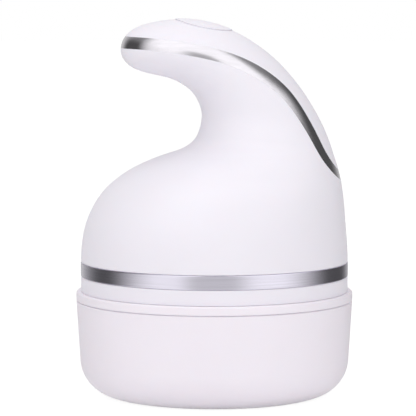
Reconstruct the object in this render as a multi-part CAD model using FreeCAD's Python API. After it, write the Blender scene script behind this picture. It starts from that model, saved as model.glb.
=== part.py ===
import FreeCAD, Part
import math
import os

# Pet head massager: a hook-handled body with four geared massage heads, standing on its storage cup.
# Millimetres. Origin at the middle of the cup's underside, +Z up, nose of the hook toward -X.

V = FreeCAD.Vector
OVERRUN = 2.0

# Main levels, from the table upward
CUP_HEIGHT = 34.0
COLLAR_HEIGHT = 3.3
LIFT_GAP = 0.1
SKIRT_HEIGHT = 5.4
BAND_HEIGHT = 5.0
SEAM_Z = CUP_HEIGHT
COLLAR_Z = SEAM_Z + COLLAR_HEIGHT
SHOULDER_Z = COLLAR_Z + LIFT_GAP
BAND_Z = SHOULDER_Z + SKIRT_HEIGHT
WAIST_Z = BAND_Z + BAND_HEIGHT

# Hook-shaped shell
BODY_RADIUS = 47.6
HOOK_HEIGHT = 86.2
SHELL_WALL = 2.4
SECTION_STEPS = 8
# Each station of the hook, from the waist to the nose: inner x, inner height, outer x, outer height and
# half depth. Heights are shares of HOOK_HEIGHT, the rest are shares of BODY_RADIUS.
STATION_SHARES = (
    (-1.000, 0.000, 1.000, 0.000, 1.000),
    (-0.956, 0.169, 0.982, 0.169, 0.971),
    (-0.795, 0.312, 0.955, 0.312, 0.871),
    (-0.525, 0.409, 0.913, 0.409, 0.707),
    (-0.352, 0.445, 0.891, 0.445, 0.622),
    (-0.187, 0.485, 0.868, 0.485, 0.537),
    (-0.095, 0.593, 0.783, 0.593, 0.441),
    (-0.148, 0.687, 0.650, 0.713, 0.410),
    (-0.300, 0.750, 0.383, 0.870, 0.399),
    (-0.502, 0.779, -0.047, 0.987, 0.383),
    (-0.640, 0.812, -0.494, 0.983, 0.271),
    (-0.690, 0.849, -0.649, 0.940, 0.145),
)
NOSE_SHARES = (-0.696, 0.891)
SPAN_SHARES = (0.0, 0.5)
NOSE_SPAN_SHARES = (0.0, 0.35, 0.65, 0.88)

# Trim loop between the shell and the handle cover, from beyond the nose to beyond the back: x and height of
# its middle line as shares of BODY_RADIUS and HOOK_HEIGHT, and its width as a share of TRIM_WIDTH
TRIM_SHARES = (
    (-0.812, 0.905, 1.00),
    (-0.422, 0.900, 1.00),
    (-0.111, 0.875, 1.00),
    (0.151, 0.835, 0.99),
    (0.366, 0.773, 0.97),
    (0.524, 0.700, 0.87),
    (0.645, 0.610, 0.75),
    (0.731, 0.528, 0.66),
    (0.817, 0.441, 0.56),
    (0.927, 0.364, 0.46),
    (1.059, 0.296, 0.40),
)
TRIM_WIDTH = 4.2
TRIM_DEPTH = 1.4

# Waist band
BAND_PROUD = 0.1
BAND_THICK = 1.6
BAND_EDGE = 0.3
RIM_EDGE = 0.4
# Where an edge of two flats turns, as a share of its width
EDGE_TURN_SHARE = 0.29

# Storage cup and its collar
CUP_LEDGE = 1.7
CUP_TAPER = 2.1
CUP_CORNER = 13.2
CUP_WALL = 2.2
CUP_STAND_MARGIN = 2.6
CUP_STAND_RECESS = 0.8
COLLAR_EDGE = 0.5
COLLAR_TONGUE = 2.5
SEAM_EDGE = 0.3
SEAM_DEPTH = 0.7
SLIDE_GAP = 0.3

# Lower housing, which carries the gear train
SPIGOT_STEP = 1.4
SPIGOT_HEIGHT = 8.0
SPIGOT_EDGE = 0.8
SPIGOT_WALL = 1.9
FLOOR_THICK = 2.4
TENON_HEIGHT = 3.0
TENON_STEP = 1.7
FIT_GAP = 0.2

# Posts, pillars and the screws that close the body
POST_INSET = 5.4
POST_RADIUS = 4.0
PILLAR_TOP_RISE = 14.0
RIB_THICK = 2.4
BODY_SCREW_RADIUS = 1.5
BODY_SCREW_HEAD_RADIUS = 2.8
BODY_SCREW_HEAD = 2.0
BODY_SCREW_GRIP = 7.0
BODY_SCREW_DRIVE = 1.1
SCREW_GAP = 0.15
PILOT_SPARE = 0.5
COUNTERBORE_DEPTH = 9.0

# Gear train
HEAD_SPREAD_SHARE = 0.4
HEAD_TEETH = 36
HEAD_GEAR_THICK = 5.0
HEAD_HUB_RADIUS = 5.6
DRIVE_MODULE_SHARE = 0.6
DRIVE_TEETH = 48
DRIVE_THICK = 4.0
DRIVE_STEP = 1.0
PINION_TEETH = 18
PINION_OVERHANG = 0.3
PRESSURE_DEG = 20.0
ADDENDUM_SHARE = 1.0
DEDENDUM_SHARE = 1.25
TOOTH_THINNING = 0.14
MOTOR_BEARING_DEG = -110.0
GEAR_HOLE_COUNT = 5
GEAR_HOLE_RADIUS = 2.6

# Head shafts, bushes, seals and clips
SHAFT_RADIUS = 3.0
RUN_GAP = 0.05
AXIAL_GAP = 0.2
BOSS_RADIUS = 8.0
BOSS_DROP = 3.4
SEAL_RADIUS = 6.0
SEAL_HEIGHT = 1.6
BUSH_RADIUS = 5.0
BUSH_FLANGE_RADIUS = 6.4
BUSH_FLANGE = 0.8
CLIP_RADIUS = 4.4
CLIP_THICK = 0.8
CLIP_DEPTH = 0.5
CLIP_MOUTH = 3.6

# Gearbox cover
PLATE_THICK = 2.4
PLATE_GAP = 0.2

# Geared motor
MOTOR_RADIUS_SHARE = 0.2531
REDUCER_MARGIN = 0.3
REDUCER_HEIGHT = 19.0
MOTOR_HEIGHT = 31.0
MOTOR_PILOT_RADIUS = 3.5
MOTOR_PILOT = 2.0
MOTOR_END_RADIUS = 5.0
MOTOR_END = 1.8
MOTOR_SHAFT_RADIUS = 2.0
MOTOR_SHAFT_DEPTH = 8.0
MOTOR_SCREW_SHARE = 0.68
MOTOR_SCREW_RADIUS = 1.4
MOTOR_SCREW_HEAD_RADIUS = 2.4
MOTOR_SCREW_HEAD = 1.3
MOTOR_SCREW_GRIP = 4.0
TERMINAL_SPREAD = 8.0
TERMINAL_WIDTH = 2.4
TERMINAL_THICK = 0.5
TERMINAL_HEIGHT = 3.0

# Battery and its cradle
CELL_RADIUS = 9.1
CELL_LENGTH_SHARE = 1.027
CELL_CAP_RADIUS = 3.2
CELL_CAP = 1.2
CELL_GAP = 2.4
CRADLE_WIDTH = 19.0
CRADLE_MARGIN = 1.6
CRADLE_FLOOR = 2.6
CRADLE_SIDE = 6.0
CRADLE_SLOT = 10.0

# Massage heads
HUB_GAP = 0.6
HUB_BOSS_RADIUS = 5.6
HUB_BOSS_RISE = 1.4
HUB_PLATE_MARGIN = 2.5
HUB_PLATE_THICK = 2.4
HUB_BOSS_DROP = 2.0
HUB_END_WALL = 0.9
PAD_GAP = 2.0
PAD_DROP = 3.8
PAD_LIP = 1.0
PAD_LIP_WIDTH = 5.0
PAD_EDGE = 1.2
PAD_ROUND = 3.4
FINGER_CLEARANCE = 6.5
FINGER_ROOT_RADIUS = 2.6
FINGER_TIP_RADIUS = 1.7
FINGER_SPLAY = 0.8
FINGER_ROOT_DEPTH = 1.2
OUTER_FINGER_COUNT = 8
OUTER_FINGER_MARGIN = 4.2
INNER_FINGER_COUNT = 4
INNER_FINGER_SHARE = 0.3375

# Power button, switch and circuit board; depths are below the top of the handle
BUTTON_RADIUS_SHARE = 0.2158
BUTTON_PROUD = 0.3
BUTTON_SHIFT = 1.3
BUTTON_STATION_INDEX = 9
BUTTON_FLOOR = 6.6
BUTTON_FLANGE = 1.0
BUTTON_FLANGE_MARGIN = 1.4
BUTTON_WALL = 2.0
BUTTON_CROWN = 1.8
BUTTON_STEM_RADIUS = 2.4
PLUNGER_RADIUS = 1.6
PLUNGER_DEPTH = 9.8
SWITCH_SIDE = 6.2
SWITCH_TOP = 8.9
SWITCH_TRAVEL = 1.2
BOARD_DEPTH = 12.4
BOARD_THICK = 1.6
BOARD_WIDTH_SHARE = 0.3734
BOARD_FRONT_SHARE = 0.3527
BOARD_REAR_SHARE = 0.4149
BOARD_POST_RADIUS = 2.2
BOARD_POST_GAP = 0.4
BOARD_SCREW_RADIUS = 0.9
BOARD_SCREW_HEAD_RADIUS = 1.8
BOARD_SCREW_HEAD = 1.2
BOARD_SCREW_GRIP = 4.5

# Charge port at the back
PORT_RISE = 10.6
SOCKET_WIDTH = 8.9
SOCKET_HEIGHT = 3.2
SOCKET_DEPTH = 7.4
SOCKET_WALL = 0.35
SOCKET_TONGUE = 0.7
SOCKET_SETBACK = 3.9
PORT_MARGIN = 0.45
CHARGE_BOARD_WIDTH = 16.0
CHARGE_BOARD_LENGTH = 11.0
CHARGE_BOARD_THICK = 1.2
TRAY_WALL = 1.6
TRAY_LIP = 1.3
TRAY_REACH = 12.0
PLUG_WIDTH = 15.0
PLUG_HEIGHT = 8.6
PLUG_THICK = 1.2
PLUG_GAP = 0.3

# Levels and radii that follow from the sizes above
CUP_RADIUS = BODY_RADIUS + CUP_LEDGE
CUP_BASE_RADIUS = CUP_RADIUS - CUP_TAPER
CUP_STAND_RADIUS = CUP_BASE_RADIUS - CUP_CORNER - CUP_STAND_MARGIN
SKIRT_RADIUS = BODY_RADIUS
SPIGOT_RADIUS = BODY_RADIUS - SPIGOT_STEP
TENON_RADIUS = BODY_RADIUS - TENON_STEP
BAND_RADIUS = BODY_RADIUS + BAND_PROUD
BAND_SEAT_RADIUS = BAND_RADIUS - BAND_THICK
RIM_TURN = RIM_EDGE * EDGE_TURN_SHARE
CHASSIS_BORE = SPIGOT_RADIUS - SPIGOT_WALL
POST_SPREAD = CHASSIS_BORE - POST_INSET
FLOOR_Z = SHOULDER_Z - SPIGOT_HEIGHT
FLOOR_TOP = FLOOR_Z + FLOOR_THICK
TENON_TOP = WAIST_Z + TENON_HEIGHT
COLLAR_BORE = SPIGOT_RADIUS + SLIDE_GAP
TONGUE_RADIUS = (COLLAR_BORE + CUP_RADIUS) / 2
BOSS_Z = FLOOR_Z - BOSS_DROP
HEAD_GEAR_Z = FLOOR_TOP + BUSH_FLANGE + AXIAL_GAP
HEAD_GEAR_TOP = HEAD_GEAR_Z + HEAD_GEAR_THICK
DRIVE_Z = HEAD_GEAR_TOP + DRIVE_STEP
DRIVE_TOP = DRIVE_Z + DRIVE_THICK
PLATE_Z = DRIVE_TOP + AXIAL_GAP + BUSH_FLANGE
PLATE_TOP = PLATE_Z + PLATE_THICK
CLIP_Z = PLATE_TOP + AXIAL_GAP
SHAFT_TOP = CLIP_Z + CLIP_THICK + CLIP_THICK
HUB_TOP = BOSS_Z - HUB_GAP
HUB_PLATE_TOP = HUB_TOP - HUB_BOSS_RISE
HUB_PLATE_Z = HUB_PLATE_TOP - HUB_PLATE_THICK
HUB_END_Z = HUB_PLATE_Z - HUB_BOSS_DROP
SHAFT_Z = HUB_END_Z + HUB_END_WALL
PAD_Z = HUB_PLATE_Z - PAD_DROP
HEAD_SPREAD = CHASSIS_BORE * HEAD_SPREAD_SHARE
HEAD_MODULE = 2 * HEAD_SPREAD / HEAD_TEETH
DRIVE_MODULE = HEAD_MODULE * DRIVE_MODULE_SHARE
GEAR_HOLE_SPREAD = (HEAD_HUB_RADIUS + HEAD_SPREAD - DEDENDUM_SHARE * HEAD_MODULE) / 2
PAD_RADIUS = HEAD_SPREAD - PAD_GAP
PAD_LIP_RADIUS = PAD_RADIUS - PAD_LIP_WIDTH
HUB_PLATE_RADIUS = PAD_RADIUS - HUB_PLATE_MARGIN
OUTER_FINGER_SPREAD = PAD_RADIUS - OUTER_FINGER_MARGIN
INNER_FINGER_SPREAD = PAD_RADIUS * INNER_FINGER_SHARE
HEAD_PLACES = (
    (HEAD_SPREAD, HEAD_SPREAD),
    (-HEAD_SPREAD, HEAD_SPREAD),
    (-HEAD_SPREAD, -HEAD_SPREAD),
    (HEAD_SPREAD, -HEAD_SPREAD),
)
POST_PLACES = (
    (POST_SPREAD, 0),
    (0, POST_SPREAD),
    (-POST_SPREAD, 0),
    (0, -POST_SPREAD),
)
MOTOR_DISTANCE = DRIVE_MODULE * (DRIVE_TEETH + PINION_TEETH) / 2
MOTOR_X = HEAD_SPREAD + MOTOR_DISTANCE * math.cos(math.radians(MOTOR_BEARING_DEG))
MOTOR_Y = HEAD_SPREAD + MOTOR_DISTANCE * math.sin(math.radians(MOTOR_BEARING_DEG))
MOTOR_RADIUS = BODY_RADIUS * MOTOR_RADIUS_SHARE
REDUCER_RADIUS = MOTOR_RADIUS + REDUCER_MARGIN
MOTOR_SCREW_SPREAD = REDUCER_RADIUS * MOTOR_SCREW_SHARE
CELL_LENGTH = BODY_RADIUS * CELL_LENGTH_SHARE
CELL_X = CELL_RADIUS + CELL_GAP + POST_RADIUS - POST_SPREAD
CRADLE_LENGTH = 2 * (HEAD_SPREAD - CLIP_RADIUS - CRADLE_MARGIN)
BUTTON_RADIUS = BODY_RADIUS * BUTTON_RADIUS_SHARE
BUTTON_FLANGE_RADIUS = BUTTON_RADIUS + BUTTON_FLANGE_MARGIN
BUTTON_HOLLOW_RADIUS = BUTTON_RADIUS - BUTTON_WALL
BOARD_WIDTH = BODY_RADIUS * BOARD_WIDTH_SHARE
BOARD_FRONT = BODY_RADIUS * BOARD_FRONT_SHARE
BOARD_REAR = BODY_RADIUS * BOARD_REAR_SHARE
BOARD_POST_SPREAD = BUTTON_FLANGE_RADIUS + BOARD_POST_RADIUS + BOARD_POST_GAP
PORT_Z = WAIST_Z + PORT_RISE


# Basic forms
def rod(radius, bottom, top, place=(0, 0)):
    """Upright cylinder between two levels."""
    return Part.makeCylinder(radius, top - bottom, V(place[0], place[1], bottom))


def ring(outer, inner, bottom, top, place=(0, 0)):
    """Upright tube between two levels."""
    return rod(outer, bottom, top, place).cut(rod(inner, bottom - OVERRUN, top + OVERRUN, place))


def block(x_low, x_high, half_width, bottom, top):
    """Box that is symmetric about the middle plane."""
    return Part.makeBox(x_high - x_low, 2 * half_width, top - bottom, V(x_low, -half_width, bottom))


def spun(profile):
    """Solid of revolution of a closed outline of (radius, height) points."""
    points = [V(radius, 0, height) for radius, height in profile]
    face = Part.Face(Part.makePolygon(points + points[:1]))
    return face.revolve(V(), V(0, 0, 1), 360)


def joined(shapes):
    """One solid from touching or crossing shapes."""
    return shapes[0].multiFuse(shapes[1:]).removeSplitter()


def slot_prism(width, height, x_low, x_high, middle_z):
    """Round-ended prism along X, as long as x_low to x_high, with its flat sides up and down."""
    radius = height / 2
    reach = (width - height) / 2
    along = V(1, 0, 0)
    length = x_high - x_low
    ends = [Part.makeCylinder(radius, length, V(x_low, side * reach, middle_z), along) for side in (-1, 1)]
    middle = block(x_low, x_high, reach, middle_z - radius, middle_z + radius)
    return joined([middle] + ends)


def round_panel(width, height, corner, x_low, x_high, middle_z):
    """Rectangular prism along X with rounded corners."""
    panel = block(x_low, x_high, width / 2, middle_z - height / 2, middle_z + height / 2)
    long_edges = [edge for edge in panel.Edges if abs(edge.tangentAt(edge.FirstParameter).x) > 0.5]
    return panel.makeFillet(corner, long_edges)


def turned_copies(shape, count, place):
    """Copies of a shape spread evenly round an upright axis."""
    copies = []
    for index in range(count):
        copy = shape.copy()
        copy.rotate(V(place[0], place[1], 0), V(0, 0, 1), 360 * index / count)
        copies.append(copy)
    return copies


# Hook form
def running_lengths(points):
    """Distance along a chain of points, up to each of them."""
    lengths = [0.0]
    for before, after in zip(points, points[1:]):
        lengths.append(lengths[-1] + before.distanceToPoint(after))
    return lengths


def side_point(x_share, height_share):
    """Point of the side view from its shares."""
    return V(x_share * BODY_RADIUS, 0, WAIST_Z + height_share * HOOK_HEIGHT)


def smooth_line(points, parameters):
    """Curve through points at given parameters."""
    curve = Part.BSplineCurve()
    curve.interpolate(Points=points, Parameters=parameters)
    return curve


def guided_line(points, parameters, start, end):
    """Curve through points at given parameters, with a given rate of change at both ends."""
    curve = Part.BSplineCurve()
    curve.interpolate(
        Points=points, Parameters=parameters, InitialTangent=start, FinalTangent=end, Scale=False)
    return curve


def between(values, index, share):
    """Value part of the way from one entry to the next."""
    return values[index] + share * (values[index + 1] - values[index])


HOOK_POINTS = [side_point(row[0], row[1]) for row in STATION_SHARES]
HOOK_POINTS.append(side_point(*NOSE_SHARES))
HOOK_POINTS += [side_point(row[2], row[3]) for row in reversed(STATION_SHARES)]
HOOK_LENGTHS = running_lengths(HOOK_POINTS)
HOOK_LINE = guided_line(HOOK_POINTS, HOOK_LENGTHS, V(0, 0, 1), V(0, 0, -1))
NOSE_INDEX = len(STATION_SHARES)
INNER_LENGTHS = HOOK_LENGTHS[:NOSE_INDEX + 1]
OUTER_LENGTHS = HOOK_LENGTHS[:NOSE_INDEX - 1:-1]
HALF_DEPTHS = [row[4] * BODY_RADIUS for row in STATION_SHARES] + [0.0]
DEPTH_POINTS = [V(depth, 0, length) for depth, length in zip(HALF_DEPTHS, INNER_LENGTHS)]
NOSE_RATE = HALF_DEPTHS[-2] / (INNER_LENGTHS[-2] - INNER_LENGTHS[-1])
DEPTH_LINE = guided_line(DEPTH_POINTS, INNER_LENGTHS, V(0, 0, 1), V(NOSE_RATE, 0, 1))


def rail_point(length, inset):
    """Point of the hook line, moved into the body by the inset."""
    along = HOOK_LINE.tangent(length)[0]
    return HOOK_LINE.value(length) + V(along.z, 0, -along.x) * inset


def hook_section(inner_length, outer_length, inset):
    """Half oval across the hook, from its outer side round to the matching point of its inner side."""
    inner = rail_point(inner_length, inset)
    outer = rail_point(outer_length, inset)
    full = rail_point(inner_length, 0).distanceToPoint(rail_point(outer_length, 0))
    half = (outer - inner) / 2
    depth = V(0, DEPTH_LINE.value(inner_length).x * 2 * half.Length / full, 0)
    angles = [math.pi * step / SECTION_STEPS for step in range(SECTION_STEPS + 1)]
    points = [inner + half + half * math.cos(angle) + depth * math.sin(angle) for angle in angles]
    return guided_line(points, angles, depth, -depth)


def hook_form(inset):
    """Whole hook, moved inward by the inset: a skin over half sections, mirrored and closed at the waist."""
    sections = []
    lengths = []
    for index in range(NOSE_INDEX):
        for share in NOSE_SPAN_SHARES if index == NOSE_INDEX - 1 else SPAN_SHARES:
            inner_length = between(INNER_LENGTHS, index, share)
            outer_length = between(OUTER_LENGTHS, index, share)
            sections.append(hook_section(inner_length, outer_length, inset))
            lengths.append(inner_length - outer_length)
    lengths.append(0.0)
    rows = [section.getPoles() for section in sections]
    rows.append([rail_point(HOOK_LENGTHS[NOSE_INDEX], inset)] * len(rows[0]))
    strands = [smooth_line(list(strand), lengths) for strand in zip(*rows)]
    across = sections[0]
    along = strands[0]
    skin = Part.BSplineSurface()
    skin.buildFromPolesMultsKnots(
        [strand.getPoles() for strand in strands],
        across.getMultiplicities(), along.getMultiplicities(),
        across.getKnots(), along.getKnots(),
        False, False, across.Degree, along.Degree)
    sides = [skin.toShape()]
    sides.append(sides[0].mirror(V(), V(0, 1, 0)))
    rims = []
    for side in sides:
        edges = [edge for edge in side.Edges if not edge.Degenerated]
        rims.append(min(edges, key=lambda edge: edge.BoundBox.ZMax))
    shell = Part.makeShell(sides + [Part.Face(Part.Wire(Part.sortEdges(rims)[0]))])
    shell.sewShape()
    return Part.makeSolid(shell)


def above_trim_edge(side):
    """Space above the lower (side -1) or upper (side 1) edge of the trim loop."""
    points = [side_point(x_share, height_share) for x_share, height_share, width_share in TRIM_SHARES]
    lengths = running_lengths(points)
    middle = smooth_line(points, lengths)
    edge_points = []
    for length, (x_share, height_share, width_share) in zip(lengths, TRIM_SHARES):
        along = middle.tangent(length)[0]
        outward = V(-along.z, 0, along.x) * side
        edge_points.append(middle.value(length) + outward * (width_share * TRIM_WIDTH / 2))
    edge = smooth_line(edge_points, lengths).toShape()
    reach = BODY_RADIUS + OVERRUN
    ceiling = WAIST_Z + HOOK_HEIGHT + reach
    first = edge_points[0]
    last = edge_points[-1]
    corners = [last, V(last.x, 0, ceiling), V(first.x, 0, ceiling), first]
    face = Part.Face(Part.Wire([edge] + Part.makePolygon(corners).Edges))
    face.translate(V(0, -reach, 0))
    return face.extrude(V(0, 2 * reach, 0))


OUTER_FORM = hook_form(0)
CAVITY_FORM = hook_form(SHELL_WALL)
TRIM_FLOOR_FORM = hook_form(TRIM_DEPTH)
ABOVE_LOWER_EDGE = above_trim_edge(-1)
ABOVE_UPPER_EDGE = above_trim_edge(1)
SHELL = OUTER_FORM.cut(CAVITY_FORM)

# Frame of the power button: origin on top of the handle, z out of it, x toward the back
BUTTON_LENGTH = OUTER_LENGTHS[BUTTON_STATION_INDEX] - BUTTON_SHIFT
BUTTON_ALONG = HOOK_LINE.tangent(BUTTON_LENGTH)[0]
BUTTON_TILT = FreeCAD.Rotation(V(0, 1, 0), math.degrees(math.atan2(-BUTTON_ALONG.z, BUTTON_ALONG.x)))
BUTTON_FRAME = FreeCAD.Placement(HOOK_LINE.value(BUTTON_LENGTH), BUTTON_TILT)


def under_button(shape):
    """Shape drawn in the button's frame, set in its place."""
    return shape.transformed(BUTTON_FRAME.toMatrix())


# Shells and trim
def body_pillars():
    """Screw pillars under the dome, each tied to the wall by a rib."""
    pillars = []
    for x, y in POST_PLACES:
        pillar = rod(POST_RADIUS, PLATE_TOP, WAIST_Z + PILLAR_TOP_RISE, (x, y))
        rib = block(POST_SPREAD, BODY_RADIUS, RIB_THICK / 2, TENON_TOP + FIT_GAP, WAIST_Z + PILLAR_TOP_RISE)
        rib.rotate(V(), V(0, 0, 1), math.degrees(math.atan2(y, x)))
        inside = OUTER_FORM.fuse(rod(CHASSIS_BORE - FIT_GAP, PLATE_TOP, WAIST_Z))
        pillars.append(pillar.fuse(rib).common(inside))
    return pillars


def board_end_x():
    """Where the charge board and its socket end, behind the back wall."""
    return BODY_RADIUS - SOCKET_SETBACK


def charge_board_z():
    """Underside of the charge board."""
    return PORT_Z - SOCKET_HEIGHT / 2 - CHARGE_BOARD_THICK


def charge_ledge():
    """Ledge on the back wall that carries the charge board."""
    half_width = CHARGE_BOARD_WIDTH / 2 + TRAY_WALL
    ledge = block(BODY_RADIUS - TRAY_REACH, BODY_RADIUS, half_width, TENON_TOP + FIT_GAP, PORT_Z)
    return ledge.common(OUTER_FORM)


def charge_board_room():
    """Slot for the charge board, open above it between two lips."""
    front = board_end_x() - CHARGE_BOARD_LENGTH - OVERRUN
    low = charge_board_z()
    half_board = CHARGE_BOARD_WIDTH / 2
    slot = block(front, board_end_x(), half_board, low, low + CHARGE_BOARD_THICK)
    high = WAIST_Z + PILLAR_TOP_RISE + OVERRUN
    return slot.fuse(block(front, board_end_x(), half_board - TRAY_LIP, low, high))


def port_recess(gap, depth):
    """Skin of the back wall inside the outline of the port plug."""
    width = PLUG_WIDTH + 2 * gap
    height = PLUG_HEIGHT + 2 * gap
    panel = round_panel(width, height, PLUG_HEIGHT / 3, 0, BODY_RADIUS + OVERRUN, PORT_Z)
    return OUTER_FORM.cut(hook_form(depth)).common(panel)


def port_slot(gap, inner_x, outer_x):
    """Round-ended passage for the charge plug."""
    margin = PORT_MARGIN - gap
    return slot_prism(SOCKET_WIDTH + 2 * margin, SOCKET_HEIGHT + 2 * margin, inner_x, outer_x, PORT_Z)


def rim_bevel():
    """Ring that takes the sharp lower edge off the dome, in two flats."""
    rise = RIM_EDGE - RIM_TURN
    return spun((
        (BODY_RADIUS - RIM_EDGE - rise, WAIST_Z - RIM_TURN),
        (BODY_RADIUS - RIM_TURN, WAIST_Z + RIM_TURN),
        (BODY_RADIUS + RIM_TURN, WAIST_Z + RIM_EDGE + rise),
        (BODY_RADIUS + RIM_TURN, WAIST_Z - RIM_TURN),
    ))


def main_housing():
    """Dome, neck and lower half of the hook, with a seat for the trim loop."""
    trim_seat = OUTER_FORM.common(ABOVE_LOWER_EDGE).cut(TRIM_FLOOR_FORM)
    shell = SHELL.cut(ABOVE_UPPER_EDGE).cut(trim_seat).cut(rim_bevel())
    shell = shell.cut(rod(TENON_RADIUS + FIT_GAP, WAIST_Z - OVERRUN, TENON_TOP + FIT_GAP))
    solid = joined([shell] + body_pillars() + [charge_ledge()]).cut(charge_board_room())
    for place in POST_PLACES:
        pilot_top = PLATE_TOP + BODY_SCREW_GRIP + PILOT_SPARE
        solid = solid.cut(rod(BODY_SCREW_RADIUS, PLATE_TOP - OVERRUN, pilot_top, place))
    solid = solid.cut(port_recess(PLUG_GAP, PLUG_THICK + PLUG_GAP))
    return solid.cut(port_slot(0, board_end_x() - OVERRUN, BODY_RADIUS + OVERRUN))


def handle_cover():
    """Top half of the hook, with the button's hole and two board posts."""
    cover = SHELL.common(ABOVE_UPPER_EDGE)
    for side in (-1, 1):
        post = under_button(rod(BOARD_POST_RADIUS, -BOARD_DEPTH, 0, (side * BOARD_POST_SPREAD, 0)))
        cover = cover.fuse(post.common(OUTER_FORM))
    for side in (-1, 1):
        pilot_top = BOARD_SCREW_GRIP + PILOT_SPARE - BOARD_DEPTH
        pilot = rod(BOARD_SCREW_RADIUS, -BOARD_DEPTH - OVERRUN, pilot_top, (side * BOARD_POST_SPREAD, 0))
        cover = cover.cut(under_button(pilot))
    hole = under_button(rod(BUTTON_RADIUS + SLIDE_GAP, -BUTTON_FLOOR, BUTTON_RADIUS))
    return cover.cut(hole)


def handle_trim():
    """Bright loop that fills the seat between shell and cover."""
    return OUTER_FORM.cut(TRIM_FLOOR_FORM).common(ABOVE_LOWER_EDGE).cut(ABOVE_UPPER_EDGE)


def waist_band():
    """Bright ring under the dome, with its outer edges eased in two flats each."""
    turn = BAND_EDGE * EDGE_TURN_SHARE
    return spun((
        (BAND_SEAT_RADIUS, BAND_Z),
        (BAND_RADIUS - BAND_EDGE, BAND_Z),
        (BAND_RADIUS - turn, BAND_Z + turn),
        (BAND_RADIUS, BAND_Z + BAND_EDGE),
        (BAND_RADIUS, WAIST_Z - BAND_EDGE),
        (BAND_RADIUS - turn, WAIST_Z - turn),
        (BAND_RADIUS - BAND_EDGE, WAIST_Z),
        (BAND_SEAT_RADIUS, WAIST_Z),
    ))


def lower_housing():
    """Round tray with the collar spigot, the band seat, head bosses and screw posts."""
    tray = spun((
        (0, FLOOR_Z),
        (SPIGOT_RADIUS - SPIGOT_EDGE, FLOOR_Z),
        (SPIGOT_RADIUS, FLOOR_Z + SPIGOT_EDGE),
        (SPIGOT_RADIUS, SHOULDER_Z),
        (SKIRT_RADIUS, SHOULDER_Z),
        (SKIRT_RADIUS, BAND_Z - RIM_EDGE),
        (SKIRT_RADIUS - RIM_TURN, BAND_Z - RIM_TURN),
        (SKIRT_RADIUS - RIM_EDGE, BAND_Z),
        (BAND_SEAT_RADIUS, BAND_Z),
        (BAND_SEAT_RADIUS, WAIST_Z),
        (TENON_RADIUS, WAIST_Z),
        (TENON_RADIUS, TENON_TOP),
        (CHASSIS_BORE, TENON_TOP),
        (CHASSIS_BORE, FLOOR_TOP),
        (0, FLOOR_TOP),
    ))
    bosses = [rod(BOSS_RADIUS, BOSS_Z, FLOOR_TOP, place) for place in HEAD_PLACES]
    posts = [rod(POST_RADIUS, FLOOR_Z, PLATE_Z, place) for place in POST_PLACES]
    solid = joined([tray] + bosses + posts)
    for place in HEAD_PLACES:
        solid = solid.cut(rod(BUSH_RADIUS, BOSS_Z - OVERRUN, FLOOR_TOP + OVERRUN, place))
        solid = solid.cut(rod(SEAL_RADIUS, BOSS_Z - OVERRUN, BOSS_Z + SEAL_HEIGHT, place))
    for place in POST_PLACES:
        solid = solid.cut(rod(BODY_SCREW_RADIUS + SCREW_GAP, FLOOR_Z, PLATE_Z + OVERRUN, place))
        head_room = BODY_SCREW_HEAD_RADIUS + SCREW_GAP
        solid = solid.cut(rod(head_room, FLOOR_Z - OVERRUN, FLOOR_Z + COUNTERBORE_DEPTH, place))
    return solid


# Storage cup
def flared_block(top_radius, base_radius, bottom, top, corner):
    """Round block that widens upward, with its lower edge rounded."""
    cone = Part.makeCone(base_radius, top_radius, top - bottom, V(0, 0, bottom))
    low_edges = [edge for edge in cone.Edges if edge.BoundBox.ZMax - bottom < corner]
    return cone.makeFillet(corner, low_edges)


def cover_cup():
    """Bowl that covers the heads and stands on a ring under its base."""
    bowl = flared_block(CUP_RADIUS, CUP_BASE_RADIUS, 0, SEAM_Z, CUP_CORNER)
    inner_radius = CUP_RADIUS - CUP_WALL
    hollow = flared_block(inner_radius, inner_radius - CUP_TAPER, CUP_WALL, SEAM_Z, CUP_CORNER - CUP_WALL)
    bowl = bowl.cut(hollow)
    bowl = bowl.cut(rod(TONGUE_RADIUS, SEAM_Z - COLLAR_TONGUE, SEAM_Z + OVERRUN))
    edge = ((CUP_RADIUS - SEAM_EDGE, SEAM_Z), (CUP_RADIUS + SEAM_EDGE, SEAM_Z - 2 * SEAM_EDGE),
            (CUP_RADIUS + SEAM_EDGE, SEAM_Z))
    return bowl.cut(spun(edge)).cut(rod(CUP_STAND_RADIUS, -OVERRUN, CUP_STAND_RECESS))


def cover_collar():
    """Ring on top of the cup that slides over the spigot of the lower housing."""
    return spun((
        (COLLAR_BORE, SEAM_Z - COLLAR_TONGUE),
        (TONGUE_RADIUS, SEAM_Z - COLLAR_TONGUE),
        (TONGUE_RADIUS, SEAM_Z),
        (CUP_RADIUS - SEAM_DEPTH, SEAM_Z),
        (CUP_RADIUS - SEAM_DEPTH, SEAM_Z + SEAM_EDGE),
        (CUP_RADIUS, SEAM_Z + SEAM_EDGE),
        (CUP_RADIUS, COLLAR_Z - COLLAR_EDGE),
        (CUP_RADIUS - COLLAR_EDGE, COLLAR_Z),
        (COLLAR_BORE, COLLAR_Z),
    ))


# Gears
def involute_angle(base_radius, radius):
    """Turn of an involute from its base circle to a radius."""
    slope = math.acos(base_radius / radius)
    return math.tan(slope) - slope


def at_angle(radius, angle):
    """Point at a radius and angle about the origin."""
    return V(radius * math.cos(angle), radius * math.sin(angle), 0)


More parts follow.
